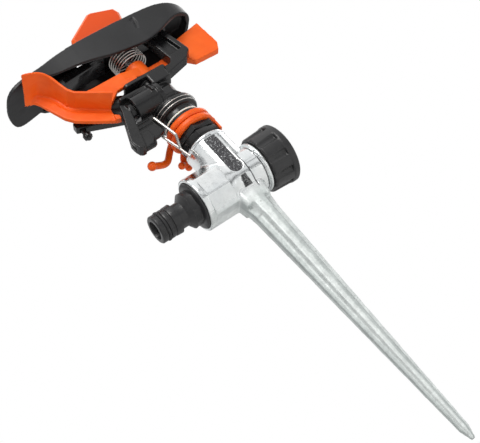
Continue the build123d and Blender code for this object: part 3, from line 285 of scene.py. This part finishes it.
def zinc():
    """Bright die-cast zinc: near-polished barrels, grey spike, dark stained recesses."""
    g = Graph("zinc_cast")
    x, y, z = g.split()
    spike = g.remap(z, span=mm(-9.5, -18), smooth=True)
    cloud = g.noise(scale=55, detail=4, rough=0.6, warp=0.4)
    streak = g.noise(stretch=(420, 420, 38), detail=4, rough=0.6, warp=0.3)
    grain = g.noise(scale=1500, detail=4, rough=0.7)
    mottle = g.noise(scale=330, detail=4, rough=0.68, warp=0.5)
    flow = g.noise(scale=190, detail=4, rough=0.62, warp=0.8)

    # brightness, speckled mostly on the spike
    tone = g.remap(cloud, span=(0.3, 0.72), to=(0.88, 1.0))
    tone = g.times(tone, g.remap(streak, span=(0.28, 0.72), to=(0.92, 1.02)))
    speck = g.plus(
        g.remap(grain, span=(0.36, 0.64), to=(-0.10, 0.07)),
        g.remap(mottle, span=(0.34, 0.66), to=(-0.12, 0.08)),
    )
    speck = g.times(speck, g.remap(spike, span=(0, 1), to=(0.16, 1.0)))
    tone = g.times(tone, g.plus(speck, 1.0))
    grey = g.add("ShaderNodeCombineColor")
    for channel in grey.inputs[:3]:
        g.link(tone, channel)

    bright = g.mix(
        g.remap(cloud, span=(0.35, 0.7)), (0.83, 0.865, 0.875), (0.91, 0.925, 0.92)
    )
    base = g.mix(spike, bright, spike_skin(g, x, y, cloud))
    color = g.mix(1.0, base, grey.outputs[0], mode="MULTIPLY")

    # casting pits, dark in the middle
    pock = g.times(
        g.remap(g.cells(scale=230), span=(0.20, 0.06)), g.remap(mottle, span=(0.45, 0.62))
    )
    color = g.coat(color, g.times(pock, spike), (0.16, 0.17, 0.17), share=0.55)
    # soot and oxide held in the corners, with painted shade: the corners are darkened where light
    # is hidden
    soot_and_shade = g.times(
        g.corners(reach=2.4, span=(0.62, 0.2)), g.remap(flow, to=(0.45, 1.0)), clamp=True
    )
    soot_and_shade_share = g.remap(spike, span=(0, 1), to=(0.85, 0.35))
    color = g.coat(color, soot_and_shade, (0.07, 0.07, 0.075), share=soot_and_shade_share)
    # the panel keeps a dark rough skin with a few bright glints
    panel = riser_panel(g, x, y, z)
    fleck = g.remap(g.noise(scale=2600, detail=2, rough=0.7), span=(0.42, 0.52))
    glint = g.remap(g.noise(scale=1250, detail=2, rough=0.8, warp=0.5), span=(0.61, 0.66))
    skin = g.mix(fleck, (0.085, 0.085, 0.09), (0.022, 0.022, 0.025))
    skin = g.mix(glint, skin, (0.62, 0.64, 0.65))
    color = g.mix(panel, color, skin)
    stain = small_recess(g, x, y, z)
    color = g.mix(stain, color, (0.022, 0.022, 0.024))
    for line_x in NECK_LINES:
        line = g.times(
            g.box(0.12, (x, line_x - NECK_LINE_HALF, line_x + NECK_LINE_HALF)),
            g.remap(z, span=mm(9.0, 7.5)),
            g.remap(z, span=mm(-14.0, -12.8)),
        )
        color = g.coat(color, line, (0.04, 0.04, 0.045), share=0.9)
    color = g.coat(color, g.edges(radius=0.5), (0.93, 0.93, 0.92), share=0.40)

    # soot with painted corner shade, the dark panel and the dark recess, for roughness and metal
    dirt_and_shade = g.math("MAXIMUM", g.math("MAXIMUM", soot_and_shade, panel), stain)
    rough = g.add("ShaderNodeMix", data_type="FLOAT")
    g.link(spike, rough.inputs[0])
    g.link(g.remap(flow, to=(0.11, 0.22)), rough.inputs[2])
    g.link(g.remap(grain, to=(0.52, 0.70)), rough.inputs[3])
    rough = g.plus(rough.outputs[0], g.times(dirt_and_shade, 0.35), clamp=True)
    rugged = g.times(
        g.noise(scale=1900, rough=0.7), g.math("MAXIMUM", panel, stain)
    )
    normal = g.relief(
        (grain, 0.6, 0.05),
        (flow, 0.6, 0.12),
        (g.cells(scale=760, feature="SMOOTH_F1"), 0.4, 0.06),
        (rugged, 0.8, 0.16),
    )
    metal = g.times(
        g.remap(dirt_and_shade, span=(0, 1.0), to=(1.0, 0.45)),
        g.remap(spike, span=(0, 1), to=(1.0, 0.55)),
    )
    return g.finish(color, rough, normal, Metallic=metal)


# --------------------------------------------------------- other materials
def moulded(name, dark, light, rough, worn, worn_share, grain_scale=1500, grain=0.02, gloss=0.5):
    """Moulded plastic: flow clouds, fine grain, dust in corners, paler rubbed edges."""
    g = Graph(name)
    cloud = g.noise(scale=48, detail=4, rough=0.6, warp=0.6)
    flow = g.noise(
        stretch=(60, 150, 95), turned=(0.3, 0.5, 0.2), detail=4, rough=0.6, warp=1.2
    )
    fine = g.noise(scale=grain_scale, rough=0.6)
    scratch = g.noise(
        stretch=(2600, 120, 260), turned=(0.5, 0.25, 0.9), detail=2, rough=0.5, warp=0.2
    )
    scuff = g.remap(scratch, span=(0.66, 0.74))
    color = g.mix(g.remap(cloud, span=(0.32, 0.68)), dark, light)
    pale = tuple(c * 1.9 + 0.01 for c in light)
    color = g.coat(color, g.remap(fine, span=(0.5, 0.72)), pale, share=0.16)
    dust = g.times(
        g.corners(reach=2.2, span=(0.7, 0.2)),
        g.remap(flow, span=(0.35, 0.65), to=(0.2, 1.0)),
    )
    color = g.coat(color, dust, (0.30, 0.28, 0.25), share=0.10)
    rub = g.rubbed(radius=0.35)
    color = g.coat(color, rub, worn, share=worn_share)
    marks = g.times(g.plus(rub, g.times(scuff, 0.6)), 0.14)
    rough = g.plus(g.remap(flow, to=rough), marks, clamp=True)
    normal = g.relief((fine, 0.6, grain), (flow, 0.35, 0.06), (scuff, 0.12, 0.01))
    return g.finish(color, rough, normal, Specular_IOR_Level=gloss)


def orange():
    """Bright orange moulded plastic: slightly translucent, semi-gloss, faint flow marks."""
    g = Graph("orange_plastic")
    cloud = g.noise(scale=42, detail=4, rough=0.6, warp=0.6)
    flow = g.noise(
        stretch=(45, 130, 130), turned=(0.2, 0.3, 0.1), detail=4, rough=0.6, warp=1.4
    )
    fine = g.noise(scale=1300, rough=0.6)
    color = g.mix(g.remap(cloud), (0.84, 0.100, 0.006), (0.94, 0.138, 0.010))
    pale_flow = g.remap(flow, span=(0.45, 0.8))
    color = g.coat(color, pale_flow, (0.95, 0.190, 0.036), share=0.35)
    # painted shade: the fin is a deeper orange on its faces square to Y, which are turned from
    # the light, and pale on its shoulders
    fin = g.remap(g.split()[2], span=mm(110, 113))
    fin_face_shade = g.remap(g.math("ABSOLUTE", g.split(g.normal)[1]), span=(0.80, 0.97))
    color = g.coat(color, fin, (0.72, 0.072, 0.003), share=fin_face_shade)
    # painted shade: the orange is darkened deep in the corners
    deep = g.corners(reach=3.5, span=(0.7, 0.15))
    color = g.coat(color, deep, (0.50, 0.026, 0.003), share=0.60)
    rub = g.rubbed(radius=0.4)
    color = g.coat(color, rub, (0.97, 0.33, 0.13), share=0.30)
    marks = g.times(g.plus(rub, g.remap(fine, span=(0.5, 0.8))), 0.10)
    return g.finish(
        color,
        g.plus(g.remap(flow, to=(0.30, 0.44)), marks, clamp=True),
        g.relief((fine, 0.5, 0.018), (flow, 0.4, 0.08)),
        Subsurface_Radius=(1.0, 0.35, 0.15),
        Subsurface_Weight=0.12,
        Subsurface_Scale=0.9 * MM,
        Specular_IOR_Level=0.26,
    )


def steel(name, tint, rough, line_scales):
    """Bright steel with fine lines round Z, a little grimy and darkened by painted shade in the
    corners.
    """
    g = Graph(name)
    cloud = g.noise(scale=160, detail=4, rough=0.6, warp=0.5)
    lines = g.noise(stretch=line_scales, detail=2, rough=0.6)
    color = g.mix(g.remap(cloud), tuple(c * 0.86 for c in tint), tint)
    # grime and painted shade: the corners are darkened and made less metallic
    grime_and_shade = g.times(
        g.corners(reach=1.6, span=(0.7, 0.15)), g.remap(cloud, to=(0.3, 1.0))
    )
    color = g.coat(color, grime_and_shade, (0.08, 0.075, 0.07), share=0.7)
    return g.finish(
        color,
        g.plus(g.remap(lines, to=rough), g.times(grime_and_shade, 0.3), clamp=True),
        g.relief((lines, 0.3, 0.012)),
        Metallic=g.remap(grime_and_shade, span=(0, 1.5), to=(1.0, 0.5)),
    )


def rubber():
    """Black rubber with a faint grey bloom."""
    g = Graph("seal_rubber")
    fine = g.noise(scale=1900, rough=0.7)
    cloud = g.noise(scale=130, rough=0.6)
    bloom = g.times(g.remap(cloud, span=(0.45, 0.75)), 0.5)
    color = g.mix(bloom, (0.012, 0.012, 0.013), (0.04, 0.04, 0.042))
    rough = g.remap(fine, to=(0.42, 0.62))
    return g.finish(color, rough, g.relief((fine, 0.5, 0.02)), Specular_IOR_Level=0.4)


def nylon():
    """Cream nylon, slightly translucent, darker in the corners with painted shade."""
    g = Graph("washer_nylon")
    fine = g.noise(scale=1500, rough=0.7)
    cloud = g.noise(scale=210, rough=0.6)
    color = g.mix(g.remap(cloud), (0.70, 0.67, 0.58), (0.82, 0.80, 0.73))
    # painted shade in the corners
    corners = g.corners(reach=1.2, span=(0.8, 0.2))
    color = g.coat(color, corners, (0.30, 0.27, 0.21), share=0.5)
    return g.finish(
        color,
        g.remap(fine, to=(0.38, 0.52)),
        g.relief((fine, 0.4, 0.015)),
        Subsurface_Weight=0.15,
        Subsurface_Scale=0.8 * MM,
    )


def brass():
    """Turned brass with patches of tarnish."""
    g = Graph("brass")
    cloud = g.noise(scale=260, detail=4, rough=0.6, warp=0.5)
    lines = g.noise(stretch=(5200, 400, 400), detail=2, rough=0.6)
    tarnish = g.times(g.remap(cloud, span=(0.45, 0.72)), 0.6)
    color = g.mix(tarnish, (0.83, 0.60, 0.27), (0.42, 0.26, 0.10))
    # painted shade: the brass is darkened in the corners
    corners = g.corners(reach=1.2, span=(0.7, 0.15))
    color = g.coat(color, corners, (0.10, 0.07, 0.03), share=0.6)
    rough = g.remap(lines, to=(0.22, 0.38))
    return g.finish(color, rough, g.relief((lines, 0.3, 0.015)), Metallic=1.0)


MATERIALS = {
    "zinc_cast": zinc(),
    "black_plastic": moulded(
        "black_plastic",
        dark=(0.0035, 0.0035, 0.004), light=(0.0075, 0.0075, 0.0082), rough=(0.20, 0.34),
        worn=(0.05, 0.05, 0.052), worn_share=0.4, gloss=0.42,
    ),
    "connector_plastic": moulded(
        "connector_plastic",
        dark=(0.009, 0.009, 0.010), light=(0.017, 0.017, 0.018), rough=(0.30, 0.44),
        worn=(0.085, 0.085, 0.09), worn_share=0.5, grain_scale=1250, grain=0.035,
    ),
    "hood_plastic": moulded(
        "hood_plastic",
        dark=(0.0070, 0.0072, 0.0080), light=(0.0135, 0.0136, 0.0150), rough=(0.36, 0.48),
        worn=(0.085, 0.085, 0.09), worn_share=0.40, grain_scale=1900, grain=0.03, gloss=0.34,
    ),
    "orange_plastic": orange(),
    "spring_steel": steel(
        "spring_steel", tint=(0.66, 0.635, 0.60), rough=(0.20, 0.36), line_scales=(700, 700, 9000)
    ),
    "pin_steel": steel(
        "pin_steel", tint=(0.66, 0.66, 0.67), rough=(0.18, 0.34), line_scales=(300, 300, 7000)
    ),
    "seal_rubber": rubber(),
    "washer_nylon": nylon(),
    "brass": brass(),
}

for obj in nodes.values():
    for slot in obj.material_slots:
        key = (slot.material.name if slot.material else "black_plastic").split(".")[0]
        slot.material = MATERIALS.get(key, MATERIALS["black_plastic"])
for material in list(bpy.data.materials):
    if material.users == 0:
        bpy.data.materials.remove(material)


# --------------------------------------------------------------- modifiers
def angle_group():
    """Geometry nodes: smooth faces, with edges over the given angle kept sharp."""
    group = bpy.data.node_groups.new("smooth_by_angle", "GeometryNodeTree")
    for name, way, kind in (
        ("Geometry", "INPUT", "NodeSocketGeometry"),
        ("Angle", "INPUT", "NodeSocketFloat"),
        ("Geometry", "OUTPUT", "NodeSocketGeometry"),
    ):
        group.interface.new_socket(name, in_out=way, socket_type=kind)
    g = Nodes(group)
    given = g.add("NodeGroupInput")
    result = g.add("NodeGroupOutput")
    faces = g.add("GeometryNodeSetShadeSmooth", domain="FACE")
    lines = g.add("GeometryNodeSetShadeSmooth", domain="EDGE")
    lines.inputs["Shade Smooth"].default_value = False
    angle = g.add("GeometryNodeInputMeshEdgeAngle")
    over = g.add("FunctionNodeCompare", data_type="FLOAT", operation="GREATER_THAN")
    drop = g.add("GeometryNodeRemoveAttribute")
    drop.inputs["Name"].default_value = "custom_normal"
    g.link(given.outputs["Geometry"], drop.inputs[0])
    g.link(drop.outputs[0], faces.inputs["Geometry"])
    g.link(faces.outputs[0], lines.inputs["Geometry"])
    g.link(angle.outputs["Unsigned Angle"], over.inputs[0])
    g.link(given.outputs["Angle"], over.inputs[1])
    g.link(over.outputs[0], lines.inputs["Selection"])
    g.link(lines.outputs[0], result.inputs[0])
    return group


ANGLES = angle_group()


def by_angle(obj, degrees):
    modifier = obj.modifiers.new("angle", "NODES")
    modifier.node_group = ANGLES
    socket = [s for s in ANGLES.interface.items_tree if s.name == "Angle"][0]
    modifier[socket.identifier] = math.radians(degrees)


def weld(obj):
    obj.modifiers.new("weld", "WELD").merge_threshold = 0.002 * MM


def soften(obj, width):
    """Machined or moulded edges: merged, flattened, bevelled and shaded by angle."""
    weld(obj)
    flat = obj.modifiers.new("flat", "DECIMATE")
    flat.decimate_type = "DISSOLVE"
    flat.angle_limit = math.radians(0.8)
    bevel = obj.modifiers.new("bevel", "BEVEL")
    bevel.width = width * MM
    bevel.segments = 2
    bevel.limit_method = "ANGLE"
    bevel.angle_limit = math.radians(32)
    bevel.use_clamp_overlap = True
    bevel.miter_outer = "MITER_ARC"
    by_angle(obj, degrees=34)


def melt(obj, voxel, passes, ripple=0.0, ripple_size=0.0):
    """Cast or moulded body: a voxel skin, relaxed so that every edge is rounded."""
    weld(obj)
    skin = obj.modifiers.new("skin", "REMESH")
    skin.mode = "VOXEL"
    skin.voxel_size = voxel * MM
    skin.use_smooth_shade = True
    relax = obj.modifiers.new("relax", "SMOOTH")
    relax.factor = 0.5
    relax.iterations = passes
    if ripple:
        texture = bpy.data.textures.new("ripple_" + obj.name, "CLOUDS")
        texture.noise_scale = ripple_size * MM
        texture.noise_depth = 2
        displace = obj.modifiers.new("ripple", "DISPLACE")
        displace.texture = texture
        displace.texture_coords = "LOCAL"
        displace.strength = ripple * MM
        displace.mid_level = 0.5


# voxel size, relaxing passes and, where the skin ripples, ripple height and size; mm
MELTED = {
    "spike_body": (0.42, 6, 0.12, 5.0),
    "sprinkler_body": (0.34, 2),
    "drive_arm": (0.32, 3, 0.05, 9.0),
    "hood": (0.36, 3, 0.05, 14.0),
    "range_lever": (0.28, 2),
    "trip_lever": (0.26, 2),
    "upper_collar": (0.28, 2),
    "lower_collar": (0.28, 2),
    "end_cap": (0.30, 2),
}
# bevel width, mm
SOFTENED = {
    "hose_connector": 0.22, "bearing_nipple": 0.14, "deflector_flap": 0.2,
    "nozzle_insert": 0.12, "hood_screws": 0.1, "swivel_tube": 0.12,
    "arm_pin": 0.12, "trip_pin": 0.1, "jet_screw": 0.08,
}
for name, obj in sorted(nodes.items()):
    if name in MELTED:
        melt(obj, *MELTED[name])
    elif name in SOFTENED:
        soften(obj, SOFTENED[name])
    else:
        weld(obj)
        by_angle(obj, degrees=40)


# ---------------------------------------- seen turns of the bearing spring
def spring_turn(name, radius, level, wire):
    """A closed ring of wire round the swivel axis; wire is the wire's radius."""
    around, across = 96, 10
    points, faces = [], []
    for i in range(around):
        turn = 2 * math.pi * i / around
        for j in range(across):
            roll = 2 * math.pi * j / across
            reach = radius + wire * math.cos(roll)
            height = level + wire * math.sin(roll)
            points.append(mm(reach * math.cos(turn), reach * math.sin(turn), height))
            here, ahead = i * across, (i + 1) % around * across
            k = (j + 1) % across
            faces.append((here + j, ahead + j, ahead + k, here + k))
    mesh = bpy.data.meshes.new(name)
    mesh.from_pydata(points, [], faces)
    for polygon in mesh.polygons:
        polygon.use_smooth = True
    piece = link_object(name, mesh)
    mesh.materials.append(MATERIALS["spring_steel"])
    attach(piece, "head")


spring_turn("spring_turn_low", radius=13.12, level=51.85, wire=0.26)
spring_turn("spring_turn_high", radius=13.62, level=53.9, wire=0.24)

# ------------------------------------------------------------------ camera
# the camera's axes in the scene, and where the scene's origin lies along them, mm
RIGHT = Vector((-0.7859024335466588, 0.04457687707734437, -0.6167416533488482))
UP = Vector((-0.5072543701544109, 0.5239191593878795, 0.6842526714493335))
AHEAD = Vector((-0.35362461580706106, -0.8506007385702936, 0.3891375266393354))
ORIGIN = Vector((-2.135676688051036, 21.534798199794338, 524.1261563206004))

camera = link_object("camera", bpy.data.cameras.new("camera"))
place = -(RIGHT * ORIGIN.x + UP * ORIGIN.y + AHEAD * ORIGIN.z) * MM
facing = Matrix((RIGHT, UP, -AHEAD)).transposed()
camera.matrix_world = Matrix.Translation(place) @ facing.to_4x4()
camera.data.sensor_width = 36
camera.data.lens = 75
camera.data.clip_start = 0.01
bpy.context.scene.camera = camera

# ------------------------------------------------------------------ lights
middle = (cad_low + cad_high) / 2


def lamp(name, toward, distance, size, power, tint=(1, 1, 1)):
    """An area light facing the middle of the product; metres and watts."""
    light = bpy.data.lights.new(name, "AREA")
    light.shape = "RECTANGLE"
    light.size, light.size_y = size
    light.energy = power
    light.color = tint
    holder = link_object(name, light)
    toward = toward.normalized()
    holder.location = middle + toward * distance
    holder.rotation_mode = "QUATERNION"
    holder.rotation_quaternion = toward.to_track_quat("Z", "Y")


lamp(
    "key", UP * 0.95 - RIGHT * 0.55 - AHEAD * 0.75,
    distance=1.0, size=(0.45, 0.45), power=5.8, tint=(1.0, 0.99, 0.97),
)
lamp(
    "fill", RIGHT * 1.0 + UP * 0.1 - AHEAD * 0.6,
    distance=1.1, size=(0.5, 0.8), power=1.5, tint=(0.97, 0.98, 1.0),
)
lamp(
    "rim", UP * 0.7 + AHEAD * 0.9 + RIGHT * 0.3, distance=1.1, size=(0.7, 0.4), power=1.6
)
lamp("top", Vector((0.1, 0.0, 1.0)), distance=1.0, size=(0.8, 0.8), power=1.3)

# ------------------------------------------------------------------- world
# position from bottom (0) to top (1) of the studio, and colour: pale with dark stripes
STUDIO_STOPS = [
    (0.00, (0.62, 0.62, 0.63)),
    (0.23, (0.80, 0.80, 0.81)),
    (0.31, (0.05, 0.05, 0.055)),
    (0.38, (0.90, 0.91, 0.92)),
    (0.55, (1.10, 1.10, 1.10)),
    (0.63, (0.10, 0.10, 0.105)),
    (0.70, (1.10, 1.10, 1.10)),
    (0.80, (1.12, 1.12, 1.12)),
    (0.842, (0.10, 0.10, 0.105)),
    (0.866, (1.15, 1.15, 1.15)),
    (1.00, (1.25, 1.25, 1.25)),
]


def studio():
    """White to the camera, striped in reflections, and dimmer for diffuse light."""
    world = bpy.data.worlds.new("studio")
    bpy.context.scene.world = world
    world.use_nodes = True
    g = Nodes(world.node_tree)
    g.tree.nodes.clear()

    def background(color, strength):
        node = g.add("ShaderNodeBackground")
        g.put(node.inputs[0], color)
        node.inputs[1].default_value = strength
        return node.outputs[0]

    out = g.add("ShaderNodeOutputWorld")
    where = g.add("ShaderNodeTexCoord")
    lean = g.add("ShaderNodeVectorMath", operation="DOT_PRODUCT")
    top = UP * 0.9 - RIGHT * 0.25 + Vector((0, 0, 0.3))
    lean.inputs[1].default_value = top.normalized()
    g.link(where.outputs["Generated"], lean.inputs[0])
    wall = g.add("ShaderNodeValToRGB")
    ramp = wall.color_ramp
    ramp.interpolation = "EASE"
    for i, (position, tone) in enumerate(STUDIO_STOPS):
        # a new ramp already has two stops
        stop = ramp.elements[i] if i < 2 else ramp.elements.new(position)
        stop.position = position
        stop.color = (*tone, 1)
    g.link(g.remap(lean.outputs["Value"], span=(-1, 1)), wall.inputs[0])
    path = g.add("ShaderNodeLightPath").outputs
    reflected = background(wall.outputs[0], strength=0.84)
    diffuse = background(wall.outputs[0], strength=0.52)
    lit = g.join(path["Is Diffuse Ray"], reflected, diffuse)
    seen = background((1.0, 1.0, 1.0), strength=1.0)
    g.link(g.join(path["Is Camera Ray"], lit, seen), out.inputs[0])


studio()

# ------------------------------------------------------------------- floor
FLOOR_HALF = 3.0  # metres
FLOOR_GAP = 0.0006  # metres below the product
FLOOR_FADE = (0.16, 0.75)  # metres from the Z axis where the floor starts and ends fading


def pale_floor():
    """Pale floor, clear from below and to shadow rays, fading out with distance."""
    g = Graph("floor")
    color = g.mix(g.remap(g.noise(scale=6)), (0.80, 0.80, 0.79), (0.84, 0.84, 0.835))
    normal = g.relief((g.noise(scale=300), 0.1, 0.2))
    g.finish(color, 0.7, normal, Specular_IOR_Level=0.2)
    below = g.normal.node.outputs["Backfacing"]
    shadow = g.add("ShaderNodeLightPath").outputs["Is Shadow Ray"]
    x, y, _ = g.split()
    far = g.remap(g.distance(x, y), span=FLOOR_FADE, smooth=True)
    clear = g.math("MAXIMUM", g.math("MAXIMUM", below, shadow), far)
    glass = g.add("ShaderNodeBsdfTransparent").outputs[0]
    g.link(g.join(clear, g.bsdf.outputs[0], glass), g.out.inputs["Surface"])
    return g.mat


floor_mesh = bpy.data.meshes.new("floor")
level = cad_low.z - FLOOR_GAP
signs = ((-1, -1), (1, -1), (1, 1), (-1, 1))
corners = [(x * FLOOR_HALF, y * FLOOR_HALF, level) for x, y in signs]
floor_mesh.from_pydata(corners, [], [(0, 1, 2, 3)])
floor = link_object("floor", floor_mesh)
floor_mesh.materials.append(pale_floor())

view = bpy.context.scene.view_settings
view.view_transform = "Standard"
view.look = "None"
view.exposure = 0.0
view.gamma = 1.0
